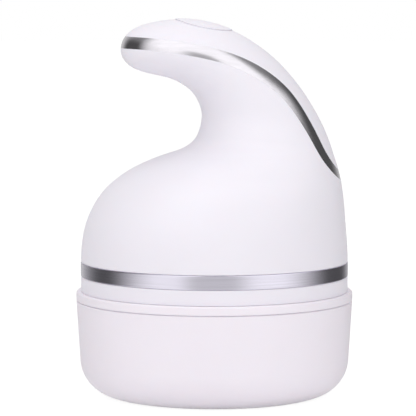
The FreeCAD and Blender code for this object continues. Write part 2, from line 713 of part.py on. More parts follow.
def toothed_wheel(module, teeth, thick, bottom, place, phase_deg):
    """Spur wheel with involute flanks; a tooth points to the phase angle."""
    pitch_radius = module * teeth / 2
    base_radius = pitch_radius * math.cos(math.radians(PRESSURE_DEG))
    root_radius = pitch_radius - DEDENDUM_SHARE * module
    tip_radius = pitch_radius + ADDENDUM_SHARE * module
    foot_radius = max(base_radius, root_radius)
    radii = (foot_radius, (foot_radius + tip_radius) / 2, tip_radius)
    half_tooth = math.pi / (2 * teeth) - TOOTH_THINNING / (4 * pitch_radius)
    half_tooth += involute_angle(base_radius, pitch_radius)
    half_angles = [half_tooth - involute_angle(base_radius, radius) for radius in radii]
    edges = []
    for tooth in range(teeth):
        middle = math.radians(phase_deg) + 2 * math.pi * tooth / teeth
        rise = [at_angle(radius, middle - angle) for radius, angle in zip(radii, half_angles)]
        fall = [at_angle(radius, middle + angle) for radius, angle in zip(radii, half_angles)]
        foot = at_angle(root_radius, middle + half_angles[0])
        gap = at_angle(root_radius, middle + math.pi / teeth)
        next_foot = at_angle(root_radius, middle + 2 * math.pi / teeth - half_angles[0])
        next_rise = at_angle(foot_radius, middle + 2 * math.pi / teeth - half_angles[0])
        edges.append(Part.Arc(*rise).toShape())
        edges.append(Part.Arc(rise[-1], at_angle(tip_radius, middle), fall[-1]).toShape())
        edges.append(Part.Arc(*reversed(fall)).toShape())
        if root_radius < base_radius:
            edges.append(Part.makeLine(fall[0], foot))
        edges.append(Part.Arc(foot, gap, next_foot).toShape())
        if root_radius < base_radius:
            edges.append(Part.makeLine(next_foot, next_rise))
    wheel = Part.Face(Part.Wire(edges)).extrude(V(0, 0, thick))
    wheel.translate(V(place[0], place[1], bottom))
    return wheel


def head_gear(index):
    """Wheel of one massage head; neighbours are half a tooth apart, so that all four mesh."""
    place = HEAD_PLACES[index]
    phase = (index % 2) * 180 / HEAD_TEETH
    wheel = toothed_wheel(HEAD_MODULE, HEAD_TEETH, HEAD_GEAR_THICK, HEAD_GEAR_Z, place, phase)
    hub = rod(HEAD_HUB_RADIUS, HEAD_GEAR_Z, DRIVE_Z if index == 0 else DRIVE_TOP, place)
    bore = rod(SHAFT_RADIUS, HEAD_GEAR_Z - OVERRUN, DRIVE_TOP + OVERRUN, place)
    hole = rod(GEAR_HOLE_RADIUS, HEAD_GEAR_Z - OVERRUN, HEAD_GEAR_TOP + OVERRUN,
               (place[0] + GEAR_HOLE_SPREAD, place[1]))
    return wheel.fuse(hub).cut(bore).cut(Part.makeCompound(turned_copies(hole, GEAR_HOLE_COUNT, place)))


def drive_gear():
    """Large wheel on the first head shaft, driven by the motor."""
    place = HEAD_PLACES[0]
    wheel = toothed_wheel(DRIVE_MODULE, DRIVE_TEETH, DRIVE_THICK, DRIVE_Z, place, MOTOR_BEARING_DEG)
    return wheel.cut(rod(SHAFT_RADIUS, DRIVE_Z - OVERRUN, DRIVE_TOP + OVERRUN, place))


def motor_pinion():
    """Small wheel on the motor shaft, with a gap facing the drive gear."""
    phase = MOTOR_BEARING_DEG + 180 + 180 / PINION_TEETH
    place = (MOTOR_X, MOTOR_Y)
    bottom = DRIVE_Z - PINION_OVERHANG
    wheel = toothed_wheel(DRIVE_MODULE, PINION_TEETH, DRIVE_THICK + 2 * PINION_OVERHANG, bottom, place, phase)
    return wheel.cut(rod(MOTOR_SHAFT_RADIUS, bottom - OVERRUN, DRIVE_TOP + OVERRUN, place))


# Shafts and what they run in
def head_shaft(index):
    """Shaft of one head, grooved for its clip."""
    place = HEAD_PLACES[index]
    groove = ring(SHAFT_RADIUS + OVERRUN, SHAFT_RADIUS - CLIP_DEPTH, CLIP_Z, CLIP_Z + CLIP_THICK, place)
    return rod(SHAFT_RADIUS, SHAFT_Z, SHAFT_TOP, place).cut(groove)


def head_clip(index):
    """Open clip that keeps the shaft from dropping out of the gearbox cover."""
    place = HEAD_PLACES[index]
    clip = ring(CLIP_RADIUS, SHAFT_RADIUS - CLIP_DEPTH, CLIP_Z, CLIP_Z + CLIP_THICK, place)
    mouth = Part.makeBox(CLIP_RADIUS + OVERRUN, CLIP_MOUTH, CLIP_THICK + 2 * OVERRUN,
                         V(place[0], place[1] - CLIP_MOUTH / 2, CLIP_Z - OVERRUN))
    return clip.cut(mouth)


def flanged_bush(place, bottom, top, flange_bottom):
    """Plain bearing with a thrust flange."""
    sleeve = rod(BUSH_RADIUS, bottom, top, place)
    flange = rod(BUSH_FLANGE_RADIUS, flange_bottom, flange_bottom + BUSH_FLANGE, place)
    bore = rod(SHAFT_RADIUS + RUN_GAP, bottom - OVERRUN, top + OVERRUN, place)
    return sleeve.fuse(flange).cut(bore)


def lower_bushes():
    """Bearings in the floor, one for each head."""
    bottom = BOSS_Z + SEAL_HEIGHT
    top = FLOOR_TOP + BUSH_FLANGE
    return Part.makeCompound([flanged_bush(place, bottom, top, FLOOR_TOP) for place in HEAD_PLACES])


def upper_bushes():
    """Bearings in the gearbox cover, one for each head."""
    bottom = PLATE_Z - BUSH_FLANGE
    return Part.makeCompound([flanged_bush(place, bottom, PLATE_TOP, bottom) for place in HEAD_PLACES])


def shaft_seals():
    """Rubber rings that keep water and hair out of the bearings."""
    top = BOSS_Z + SEAL_HEIGHT
    bore = SHAFT_RADIUS + RUN_GAP
    return Part.makeCompound([ring(SEAL_RADIUS, bore, BOSS_Z, top, place) for place in HEAD_PLACES])


def motor_screw_places():
    """Places of the two screws, square to the line between the motor and its gear."""
    turn = math.radians(MOTOR_BEARING_DEG + 90)
    reach = V(math.cos(turn), math.sin(turn), 0) * MOTOR_SCREW_SPREAD
    return [(MOTOR_X + side * reach.x, MOTOR_Y + side * reach.y) for side in (-1, 1)]


def gearbox_cover():
    """Plate over the gears that carries the motor and the battery."""
    plate = rod(CHASSIS_BORE - PLATE_GAP, PLATE_Z, PLATE_TOP)
    low = PLATE_Z - OVERRUN
    high = PLATE_TOP + OVERRUN
    for place in HEAD_PLACES:
        plate = plate.cut(rod(BUSH_RADIUS, low, high, place))
    for place in POST_PLACES:
        plate = plate.cut(rod(BODY_SCREW_RADIUS + SCREW_GAP, low, high, place))
    for place in motor_screw_places():
        plate = plate.cut(rod(MOTOR_SCREW_RADIUS + SCREW_GAP, low, high, place))
        plate = plate.cut(rod(MOTOR_SCREW_HEAD_RADIUS + SCREW_GAP, low, PLATE_Z + MOTOR_SCREW_HEAD, place))
    return plate.cut(rod(MOTOR_PILOT_RADIUS, low, high, (MOTOR_X, MOTOR_Y)))


# Motor and battery
def gear_motor():
    """Motor can on its reducer, with a pilot, a rear bearing cap and two terminals."""
    place = (MOTOR_X, MOTOR_Y)
    can_z = PLATE_TOP + REDUCER_HEIGHT
    end_z = can_z + MOTOR_HEIGHT
    terminals = []
    for side in (-1, 1):
        corner = V(MOTOR_X - TERMINAL_WIDTH / 2, MOTOR_Y + side * TERMINAL_SPREAD - TERMINAL_THICK / 2, end_z)
        terminals.append(Part.makeBox(TERMINAL_WIDTH, TERMINAL_THICK, TERMINAL_HEIGHT, corner))
    solid = joined([
        rod(REDUCER_RADIUS, PLATE_TOP, can_z, place),
        rod(MOTOR_RADIUS, can_z, end_z, place),
        rod(MOTOR_PILOT_RADIUS, PLATE_TOP - MOTOR_PILOT, PLATE_TOP, place),
        rod(MOTOR_END_RADIUS, end_z, end_z + MOTOR_END, place),
    ] + terminals)
    shaft_room = MOTOR_SHAFT_RADIUS + RUN_GAP
    solid = solid.cut(rod(shaft_room, PLATE_Z - OVERRUN, PLATE_TOP + MOTOR_SHAFT_DEPTH, place))
    for screw_place in motor_screw_places():
        pilot_top = PLATE_TOP + MOTOR_SCREW_GRIP + PILOT_SPARE
        solid = solid.cut(rod(MOTOR_SCREW_RADIUS, PLATE_Z, pilot_top, screw_place))
    return solid


def motor_shaft():
    """Output shaft of the reducer."""
    top = PLATE_TOP + MOTOR_SHAFT_DEPTH - AXIAL_GAP
    return rod(MOTOR_SHAFT_RADIUS, DRIVE_Z - PINION_OVERHANG, top, (MOTOR_X, MOTOR_Y))


def along_y(radius, length, x, z):
    """Cylinder along Y, centred on the middle plane."""
    return Part.makeCylinder(radius, length, V(x, -length / 2, z), V(0, 1, 0))


CELL_Z = PLATE_TOP + CRADLE_FLOOR + CELL_RADIUS


def battery():
    """Round cell with its raised contact."""
    cell = along_y(CELL_RADIUS, CELL_LENGTH, CELL_X, CELL_Z)
    contact = Part.makeCylinder(CELL_CAP_RADIUS, CELL_CAP, V(CELL_X, CELL_LENGTH / 2, CELL_Z), V(0, 1, 0))
    return cell.fuse(contact)


def battery_cradle():
    """Saddle that holds the cell on the gearbox cover, with a slot for its strap."""
    half = CRADLE_WIDTH / 2
    floor_z = PLATE_TOP + CRADLE_FLOOR
    saddle = block(CELL_X - half, CELL_X + half, CRADLE_LENGTH / 2, PLATE_TOP, floor_z + CRADLE_SIDE)
    saddle = saddle.cut(along_y(CELL_RADIUS, CELL_LENGTH, CELL_X, CELL_Z))
    reach = half + OVERRUN
    window = block(CELL_X - reach, CELL_X + reach, CRADLE_SLOT / 2, floor_z, floor_z + CRADLE_SIDE + OVERRUN)
    return saddle.cut(window)


# Massage heads
def claw_hub(index):
    """Rigid carrier on the lower end of a head shaft."""
    place = HEAD_PLACES[index]
    boss = rod(HUB_BOSS_RADIUS, HUB_END_Z, HUB_TOP, place)
    plate = rod(HUB_PLATE_RADIUS, HUB_PLATE_Z, HUB_PLATE_TOP, place)
    return boss.fuse(plate).cut(rod(SHAFT_RADIUS, SHAFT_Z, HUB_TOP + OVERRUN, place))


def finger(spread):
    """Tapered finger with a ball tip, leaning outward, in the plane of the X axis."""
    root = V(spread, 0, PAD_Z + FINGER_ROOT_DEPTH)
    tip = V(spread + FINGER_SPLAY, 0, FINGER_CLEARANCE + FINGER_TIP_RADIUS)
    reach = tip - root
    stem = Part.makeCone(FINGER_ROOT_RADIUS, FINGER_TIP_RADIUS, reach.Length, root, reach)
    return stem.fuse(Part.makeSphere(FINGER_TIP_RADIUS, tip))


def claw_skin(index):
    """Soft pad with two rings of fingers, wrapped over the carrier."""
    pad = spun((
        (0, PAD_Z),
        (PAD_RADIUS - PAD_ROUND, PAD_Z),
        (PAD_RADIUS, PAD_Z + PAD_ROUND),
        (PAD_RADIUS, HUB_PLATE_TOP + PAD_LIP - PAD_EDGE),
        (PAD_RADIUS - PAD_EDGE, HUB_PLATE_TOP + PAD_LIP),
        (PAD_LIP_RADIUS, HUB_PLATE_TOP + PAD_LIP),
        (PAD_LIP_RADIUS, HUB_PLATE_TOP),
        (0, HUB_PLATE_TOP),
    ))
    fingers = turned_copies(finger(OUTER_FINGER_SPREAD), OUTER_FINGER_COUNT, (0, 0))
    fingers += turned_copies(finger(INNER_FINGER_SPREAD), INNER_FINGER_COUNT, (0, 0))
    skin = joined([pad] + fingers)
    skin.translate(V(*HEAD_PLACES[index], 0))
    return skin.cut(claw_hub(index)).cut(head_shaft(index))


# Button, switch and board, drawn in the button's frame
def power_button():
    """Round cap that follows the handle, hollow below, with a flange that keeps it in."""
    cap = under_button(rod(BUTTON_RADIUS, -BUTTON_FLOOR, BUTTON_RADIUS)).common(hook_form(-BUTTON_PROUD))
    hollow = under_button(rod(BUTTON_HOLLOW_RADIUS, -BUTTON_FLOOR - OVERRUN, BUTTON_RADIUS))
    hollow = hollow.common(hook_form(BUTTON_CROWN))
    flange_z = -BUTTON_FLOOR - BUTTON_FLANGE
    flange = under_button(ring(BUTTON_FLANGE_RADIUS, BUTTON_HOLLOW_RADIUS, flange_z, -BUTTON_FLOOR))
    stem = under_button(rod(BUTTON_STEM_RADIUS, flange_z, -BUTTON_CROWN))
    return cap.cut(hollow).fuse(flange).fuse(stem).removeSplitter()


def switch_plunger():
    """Small pin between the button's stem and the switch."""
    return under_button(rod(PLUNGER_RADIUS, -PLUNGER_DEPTH, -BUTTON_FLOOR - BUTTON_FLANGE))


def tact_switch():
    """Switch body on the board, bored for its plunger."""
    half = SWITCH_SIDE / 2
    body = block(-half, half, half, -BOARD_DEPTH, -SWITCH_TOP)
    bore = rod(PLUNGER_RADIUS + SLIDE_GAP, -PLUNGER_DEPTH - SWITCH_TRAVEL, 0)
    return under_button(body.cut(bore))


def circuit_board():
    """Control board hung from the posts of the handle cover."""
    board = block(-BOARD_FRONT, BOARD_REAR, BOARD_WIDTH / 2, -BOARD_DEPTH - BOARD_THICK, -BOARD_DEPTH)
    for side in (-1, 1):
        hole = rod(BOARD_SCREW_RADIUS + SCREW_GAP, -BOARD_DEPTH - BOARD_THICK - OVERRUN, 0,
                   (side * BOARD_POST_SPREAD, 0))
        board = board.cut(hole)
    return under_button(board)


def board_screws():
    """Two screws from below the board into its posts."""
    screws = []
    for side in (-1, 1):
        place = (side * BOARD_POST_SPREAD, 0)
        seat = -BOARD_DEPTH - BOARD_THICK
        shank = rod(BOARD_SCREW_RADIUS, seat, BOARD_SCREW_GRIP - BOARD_DEPTH, place)
        head = rod(BOARD_SCREW_HEAD_RADIUS, seat - BOARD_SCREW_HEAD, seat, place)
        screws.append(under_button(head.fuse(shank)))
    return Part.makeCompound(screws)


# Charge port
def charge_board():
    """Small board in the tray behind the port."""
    low = charge_board_z()
    front = board_end_x() - CHARGE_BOARD_LENGTH
    return block(front, board_end_x(), CHARGE_BOARD_WIDTH / 2, low, low + CHARGE_BOARD_THICK)


def charge_socket():
    """Flat round-ended socket with its contact tongue."""
    front = board_end_x() - SOCKET_DEPTH
    shell = slot_prism(SOCKET_WIDTH, SOCKET_HEIGHT, front, board_end_x(), PORT_Z)
    inner_width = SOCKET_WIDTH - 2 * SOCKET_WALL
    inner_height = SOCKET_HEIGHT - 2 * SOCKET_WALL
    hollow = slot_prism(inner_width, inner_height, front + SOCKET_WALL, board_end_x() + OVERRUN, PORT_Z)
    tongue = block(front, board_end_x() - SOCKET_WALL, inner_width / 3, PORT_Z - SOCKET_TONGUE / 2,
                   PORT_Z + SOCKET_TONGUE / 2)
    return shell.cut(hollow).fuse(tongue)


def port_plug():
    """Soft flush plug that closes the port."""
    stem = port_slot(PLUG_GAP, board_end_x() + PLUG_GAP, BODY_RADIUS).common(hook_form(PLUG_THICK / 2))
    return port_recess(0, PLUG_THICK).fuse(stem)


# Fasteners
def plain_screw(place, seat, tip, radius, head_radius, head, drive):
    """Pan screw pointing up, with a round drive socket in its head."""
    shank = rod(radius, seat, tip, place)
    cap = rod(head_radius, seat - head, seat, place)
    socket = rod(drive, seat - head - OVERRUN, seat - head / 2, place)
    return cap.fuse(shank).cut(socket)


def body_screws():
    """Four screws from below, through the posts and the gearbox cover into the pillars."""
    seat = FLOOR_Z + COUNTERBORE_DEPTH
    tip = PLATE_TOP + BODY_SCREW_GRIP
    sizes = (BODY_SCREW_RADIUS, BODY_SCREW_HEAD_RADIUS, BODY_SCREW_HEAD, BODY_SCREW_DRIVE)
    return Part.makeCompound([plain_screw(place, seat, tip, *sizes) for place in POST_PLACES])


def motor_screws():
    """Two screws from below the gearbox cover into the reducer."""
    seat = PLATE_Z + MOTOR_SCREW_HEAD
    tip = PLATE_TOP + MOTOR_SCREW_GRIP
    sizes = (MOTOR_SCREW_RADIUS, MOTOR_SCREW_HEAD_RADIUS, MOTOR_SCREW_HEAD, MOTOR_SCREW_RADIUS / 2)
    return Part.makeCompound([plain_screw(place, seat, tip, *sizes) for place in motor_screw_places()])


# One file for each piece
PIECES = {
    "main_housing": main_housing(),
    "handle_cover": handle_cover(),
    "handle_trim": handle_trim(),
    "waist_band": waist_band(),
    "lower_housing": lower_housing(),
    "cover_cup": cover_cup(),
    "cover_collar": cover_collar(),
    "gearbox_cover": gearbox_cover(),
    "lower_bushes": lower_bushes(),
    "upper_bushes": upper_bushes(),
    "shaft_seals": shaft_seals(),
    "drive_gear": drive_gear(),
    "motor_pinion": motor_pinion(),
    "motor_shaft": motor_shaft(),
    "gear_motor": gear_motor(),
    "battery": battery(),
    "battery_cradle": battery_cradle(),
    "power_button": power_button(),
    "switch_plunger": switch_plunger(),
    "tact_switch": tact_switch(),
    "circuit_board": circuit_board(),
    "charge_board": charge_board(),
    "charge_socket": charge_socket(),
    "port_plug": port_plug(),
    "body_screws": body_screws(),
    "motor_screws": motor_screws(),
    "board_screws": board_screws(),
}
for head in range(len(HEAD_PLACES)):
    PIECES[f"head_shaft_{head + 1}"] = head_shaft(head)
    PIECES[f"head_gear_{head + 1}"] = head_gear(head)
    PIECES[f"head_clip_{head + 1}"] = head_clip(head)
    PIECES[f"claw_hub_{head + 1}"] = claw_hub(head)
    PIECES[f"claw_skin_{head + 1}"] = claw_skin(head)

os.makedirs("parts", exist_ok=True)
for name, shape in PIECES.items():
    shape.exportStep(f"parts/{name}.step")
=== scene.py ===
"""Dressed model of a hook-handled pet head massager, standing on its storage cup."""

import logging
import math
from abc import ABC, abstractmethod
from dataclasses import dataclass, field
from enum import Enum

import bmesh
import bpy
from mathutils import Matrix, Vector


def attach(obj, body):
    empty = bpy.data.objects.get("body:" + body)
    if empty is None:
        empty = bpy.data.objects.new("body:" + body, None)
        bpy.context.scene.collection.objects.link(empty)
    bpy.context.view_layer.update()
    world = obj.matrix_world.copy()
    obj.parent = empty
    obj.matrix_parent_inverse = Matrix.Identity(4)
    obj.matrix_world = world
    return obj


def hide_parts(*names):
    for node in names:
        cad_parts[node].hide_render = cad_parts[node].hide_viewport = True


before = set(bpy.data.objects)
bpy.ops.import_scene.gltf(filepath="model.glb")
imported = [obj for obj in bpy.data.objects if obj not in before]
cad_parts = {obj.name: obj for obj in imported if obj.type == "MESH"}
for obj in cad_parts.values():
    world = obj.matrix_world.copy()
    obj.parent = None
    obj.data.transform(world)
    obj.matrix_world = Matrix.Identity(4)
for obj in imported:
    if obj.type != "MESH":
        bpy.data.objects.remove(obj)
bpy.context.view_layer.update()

LOG = logging.getLogger("head_massager")
MM = 0.001
DEGREES_IN_RADIAN = math.degrees(1.0)
QUARTER_TURN_DEG = 90.0
IMAGE_SIDE_PIXELS = 416
HEAD_NUMBERS = (1, 2, 3, 4)

Colour = tuple[float, float, float]
Point = tuple[float, float, float]
Span = tuple[float, float]
Socket = bpy.types.NodeSocket

# Levels between which nearly all of a soft noise lies
SOFT_NOISE: Span = (0.3, 0.7)
RISING: Span = (0.0, 1.0)
FALLING: Span = (1.0, 0.0)
OPAQUE_WHITE = (1.0, 1.0, 1.0, 1.0)


class Grain(Enum):
    """Way in which the brushing of a metal runs, as repeats in each metre along X, Y and Z."""

    ROUND_THE_WAIST = (30.0, 30.0, 2200.0)
    ALONG_THE_HANDLE = (60.0, 900.0, 900.0)
    ROUND_A_SHAFT = (500.0, 500.0, 3200.0)
    NONE = (700.0, 700.0, 700.0)


class Change(Enum):
    """Way in which a value goes from one level to another."""

    STRAIGHT = "LINEAR"
    EASED = "SMOOTHSTEP"


class Recipe:
    """Node tree of one material, with short ways to add and join nodes."""

    def __init__(self, name: str) -> None:
        """Starts an empty tree.

        Args:
            name: name of the material.
        """
        self.material = bpy.data.materials.new(name)
        self.material.use_nodes = True
        self.tree = self.material.node_tree
        self.tree.nodes.clear()
        self.output = self.tree.nodes.new("ShaderNodeOutputMaterial")
        self.place = self.tree.nodes.new("ShaderNodeTexCoord").outputs["Object"]

    def node(self, kind: str) -> bpy.types.Node:
        """Adds a node of the given kind."""
        return self.tree.nodes.new(kind)

    def join(self, source: Socket, target: Socket) -> None:
        """Links an output to an input."""
        self.tree.links.new(source, target)

    def stretched(self, scale: Point) -> Socket:
        """Object coordinates, stretched.

        Args:
            scale: factor along each axis.

        Returns:
            The stretched coordinates.
        """
        mapping = self.node("ShaderNodeMapping")
        mapping.inputs["Scale"].default_value = scale
        self.join(self.place, mapping.inputs["Vector"])
        return mapping.outputs["Vector"]

    def noise(self, scale: float, detail: float = 3.0, vector: Socket | None = None) -> Socket:
        """Soft noise.

        Args:
            scale: repeats in each metre.
            detail: number of finer layers.
            vector: coordinates, or the object's own.

        Returns:
            The noise, from 0 to 1.
        """
        texture = self.node("ShaderNodeTexNoise")
        texture.inputs["Scale"].default_value = scale
        texture.inputs["Detail"].default_value = detail
        self.join(vector or self.place, texture.inputs["Vector"])
        return texture.outputs["Fac"]

    def streaks(self, detail: float, stretch: Point) -> Socket:
        """Noise drawn out into streaks.

        Args:
            detail: number of finer layers.
            stretch: repeats in each metre along each axis.

        Returns:
            The noise, from 0 to 1.
        """
        return self.noise(1.0, detail, self.stretched(stretch))

    def cells(self, scale: float) -> Socket:
        """Distance from scattered points.

        Args:
            scale: repeats in each metre.

        Returns:
            The distance, 0 at each point.
        """
        texture = self.node("ShaderNodeTexVoronoi")
        texture.inputs["Scale"].default_value = scale
        self.join(self.place, texture.inputs["Vector"])
        return texture.outputs["Distance"]

    def mapped(self, value: Socket, span: Span, levels: Span, change: Change) -> Socket:
        """Maps a value on levels.

        Args:
            value: value that is mapped.
            span: where the change of level begins and ends.
            levels: level before the change and after it.
            change: way in which the level changes.

        Returns:
            The level.
        """
        mapping = self.node("ShaderNodeMapRange")
        mapping.interpolation_type = change.value
        names = ("From Min", "From Max", "To Min", "To Max")
        for name, number in zip(names, (*span, *levels)):
            mapping.inputs[name].default_value = number
        self.join(value, mapping.inputs["Value"])
        return mapping.outputs["Result"]

    def spread(self, noise: Socket, levels: Span) -> Socket:
        """Maps soft noise on a range."""
        return self.mapped(noise, SOFT_NOISE, levels, Change.STRAIGHT)

    def eased(self, value: Socket, span: Span, levels: Span = RISING) -> Socket:
        """Soft step from one level to another."""
        return self.mapped(value, span, levels, Change.EASED)

    def tinted(self, factor: Socket, span: Span, colours: tuple[Colour, Colour]) -> Socket:
        """Ramp between two colours.

        Args:
            factor: value along the ramp.
            span: where the ramp begins and ends.
            colours: colour at its beginning and at its end.

        Returns:
            The colour.
        """
        ramp = self.node("ShaderNodeValToRGB")
        for element, position, colour in zip(ramp.color_ramp.elements, span, colours):
            element.position = position
            element.color = (*colour, 1.0)
        self.join(factor, ramp.inputs["Fac"])
        return ramp.outputs["Color"]

    def worked(self, operation: str, first: Socket, second: Socket | float = 0.0) -> Socket:
        """Sum, product or other working of values.

        Args:
            operation: name of the working, as the math node has it.
            first: first value.
            second: second value, a socket or a number.

        Returns:
            The result.
        """
        working = self.node("ShaderNodeMath")
        working.operation = operation
        self.join(first, working.inputs[0])
        if isinstance(second, (int, float)):
            working.inputs[1].default_value = second
        else:
            self.join(second, working.inputs[1])
        return working.outputs["Value"]

    def plus(self, first: Socket, second: Socket | float) -> Socket:
        """Sum of two values."""
        return self.worked("ADD", first, second)

    def times(self, first: Socket, second: Socket | float) -> Socket:
        """Product of two values."""
        return self.worked("MULTIPLY", first, second)

    def above(self, value: Socket, level: float) -> Socket:
        """How far a value lies above a level, and 0 below it."""
        return self.worked("MAXIMUM", self.worked("SUBTRACT", value, level), 0.0)

    def raised(self, height: Socket, depth: float) -> Socket:
        """Bump from a height.

        Args:
            height: value from 0 to 1.
            depth: height of the relief in metres.

        Returns:
            The bent normal.
        """
        bump = self.node("ShaderNodeBump")
        bump.inputs["Strength"].default_value = 1.0
        bump.inputs["Distance"].default_value = depth
        self.join(height, bump.inputs["Height"])
        return bump.outputs["Normal"]

    def surface(
        self,
        constants: dict[str, float | tuple[float, ...]],
        links: dict[str, Socket],
    ) -> bpy.types.Material:
        """Closes the tree with its shader.

        Args:
            constants: values that are the same all over.
            links: values that vary over the surface.

        Returns:
            The finished material.
        """
        shader = self.node("ShaderNodeBsdfPrincipled")
        for name, value in constants.items():
            shader.inputs[name].default_value = value
        for name, socket in links.items():
            self.join(socket, shader.inputs[name])
        self.join(shader.outputs["BSDF"], self.output.inputs["Surface"])
        return self.material


def shaded(colour: Colour, factor: float) -> Colour:
    """A colour made lighter or darker.

    Args:
        colour: linear colour.
        factor: multiplier of each channel.

    Returns:
        The new colour, no channel above 1.
    """
    red, green, blue = (min(1.0, channel * factor) for channel in colour)
    return (red, green, blue)


def around(middle: float, reach: float) -> Span:
    """Range that reaches equally far to both sides of its middle."""
    return (middle - reach, middle + reach)


@dataclass(frozen=True)
class Finish(ABC):
    """Surface of a piece: its name, the record's slot and its base colour."""

    name: str
    slot: str
    colour: Colour

    def material(self) -> bpy.types.Material:
        """The material of this finish, made once."""
        label = f"{self.name}_finish"
        return bpy.data.materials.get(label) or self.mix(Recipe(label))

    def varied(self, recipe: Recipe, noise: Socket, shades: Span) -> Socket:
        """The base colour, darker and lighter with soft noise.

        Args:
            recipe: material in the making.
            noise: value from 0 to 1.
            shades: multiplier of the colour where the noise is low, and where it is high.

        Returns:
            The varied colour.
        """
        dark, light = shades
        return recipe.tinted(noise, SOFT_NOISE, (shaded(self.colour, dark), shaded(self.colour, light)))

    @abstractmethod
    def mix(self, recipe: Recipe) -> bpy.types.Material:
        """Fills the recipe and returns its material."""


@dataclass(frozen=True)
class MouldedPlastic(Finish):
    """Moulded plastic with the fine texture of its mould."""

    roughness: float = 0.5
    specular: float = 0.4
    gloss_scale: float = 45.0
    gloss_reach: float = 0.04
    cloud_scale: float = 28.0
    cloud_reach: float = 0.012
    grain_scale: float = 2400.0
    grain_detail: float = 2.0
    grain_depth: float = 0.012 * MM
    glow: float = 0.0
    glow_radius: Colour = (1.6, 0.9, 0.7)
    glow_scale: float = 0.5 * MM

    def mix(self, recipe: Recipe) -> bpy.types.Material:
        """Fine even grain over faint clouds in tone and gloss.

        Args:
            recipe: material in the making.

        Returns:
            The finished material.
        """
        grain = recipe.noise(self.grain_scale, self.grain_detail)
        clouds = recipe.noise(self.cloud_scale)
        gloss = around(self.roughness, self.gloss_reach)
        return recipe.surface(
            {
                "Specular IOR Level": self.specular,
                "Subsurface Weight": self.glow,
                "Subsurface Radius": self.glow_radius,
                "Subsurface Scale": self.glow_scale,
            },
            {
                "Base Color": self.varied(recipe, clouds, around(1.0, self.cloud_reach)),
                "Roughness": recipe.spread(recipe.noise(self.gloss_scale), gloss),
                "Normal": recipe.raised(grain, self.grain_depth),
            },
        )


@dataclass(frozen=True)
class SatinMetal(Finish):
    """Plated or bare metal with fine brushing."""

    roughness: float = 0.28
    grain: Grain = Grain.NONE
    grain_detail: float = 4.0
    grain_depth: float = 0.004 * MM
    streak_reach: float = 0.1
    gloss_scale: float = 120.0
    gloss_reach: float = 0.03

    def mix(self, recipe: Recipe) -> bpy.types.Material:
        """Brushed streaks in tone and relief, and faint handling marks in gloss.

        Args:
            recipe: material in the making.

        Returns:
            The finished material.
        """
        streaks = recipe.streaks(self.grain_detail, self.grain.value)
        gloss = around(self.roughness, self.gloss_reach)
        return recipe.surface(
            {"Metallic": 1.0},
            {
                "Base Color": self.varied(recipe, streaks, around(1.0, self.streak_reach)),
                "Roughness": recipe.spread(recipe.noise(self.gloss_scale), gloss),
                "Normal": recipe.raised(streaks, self.grain_depth),
            },
        )


@dataclass(frozen=True)
class SinteredMetal(Finish):
    """Pressed metal powder, with open pores."""

    pore_scale: float = 2600.0
    pore_edge: Span = (0.08, 0.3)
    pore_shade: float = 0.35
    pore_depth: float = 0.02 * MM
    gloss_scale: float = 600.0
    gloss: Span = (0.38, 0.56)

    def mix(self, recipe: Recipe) -> bpy.types.Material:
        """Dark pores in a dull metal.

        Args:
            recipe: material in the making.

        Returns:
            The finished material.
        """
        pores = recipe.cells(self.pore_scale)
        tones = (shaded(self.colour, self.pore_shade), self.colour)
        return recipe.surface(
            {"Metallic": 1.0},
            {
                "Base Color": recipe.tinted(pores, self.pore_edge, tones),
                "Roughness": recipe.spread(recipe.noise(self.gloss_scale), self.gloss),
                "Normal": recipe.raised(pores, self.pore_depth),
            },
        )


@dataclass(frozen=True)
class SoftRubber(Finish):
    """Silicone or rubber, with a velvety skin."""

    roughness: float = 0.6
    specular: float = 0.35
    gloss_scale: float = 90.0
    gloss_reach: float = 0.06
    cloud_scale: float = 60.0
    cloud_reach: float = 0.03
    skin_scale: float = 1500.0
    skin_detail: float = 2.0
    skin_depth: float = 0.015 * MM
    glow: float = 0.25
    glow_radius: Colour = (2.6, 2.2, 2.2)
    glow_scale: float = MM
    sheen: float = 0.15
    sheen_roughness: float = 0.5

    def mix(self, recipe: Recipe) -> bpy.types.Material:
        """Soft clouds, a fine pebbled skin and light that sinks in.

        Args:
            recipe: material in the making.

        Returns:
            The finished material.
        """
        skin = recipe.noise(self.skin_scale, self.skin_detail)
        clouds = recipe.noise(self.cloud_scale)
        gloss = around(self.roughness, self.gloss_reach)
        return recipe.surface(
            {
                "Specular IOR Level": self.specular,
                "Subsurface Weight": self.glow,
                "Subsurface Radius": self.glow_radius,
                "Subsurface Scale": self.glow_scale,
                "Sheen Weight": self.sheen,
                "Sheen Roughness": self.sheen_roughness,
            },
            {
                "Base Color": self.varied(recipe, clouds, around(1.0, self.cloud_reach)),
                "Roughness": recipe.spread(recipe.noise(self.gloss_scale), gloss),
                "Normal": recipe.raised(skin, self.skin_depth),
            },
        )


@dataclass(frozen=True)
class ShrinkWrap(Finish):
    """Thin film shrunk over a metal can."""

    line_stretch: Point = (900.0, 40.0, 900.0)
    line_detail: float = 3.0
    line_shades: Span = (0.85, 1.12)
    line_depth: float = 0.02 * MM
    gloss_scale: float = 150.0
    gloss: Span = (0.22, 0.34)
    coat: float = 0.4
    coat_roughness: float = 0.12

    def mix(self, recipe: Recipe) -> bpy.types.Material:
        """Glossy film with faint draw lines along the cell.

        Args:
            recipe: material in the making.

        Returns:
            The finished material.
        """
        lines = recipe.streaks(self.line_detail, self.line_stretch)
        return recipe.surface(
            {"Coat Weight": self.coat, "Coat Roughness": self.coat_roughness},
            {
                "Base Color": self.varied(recipe, lines, self.line_shades),
                "Roughness": recipe.spread(recipe.noise(self.gloss_scale), self.gloss),
                "Normal": recipe.raised(lines, self.line_depth),
            },
        )


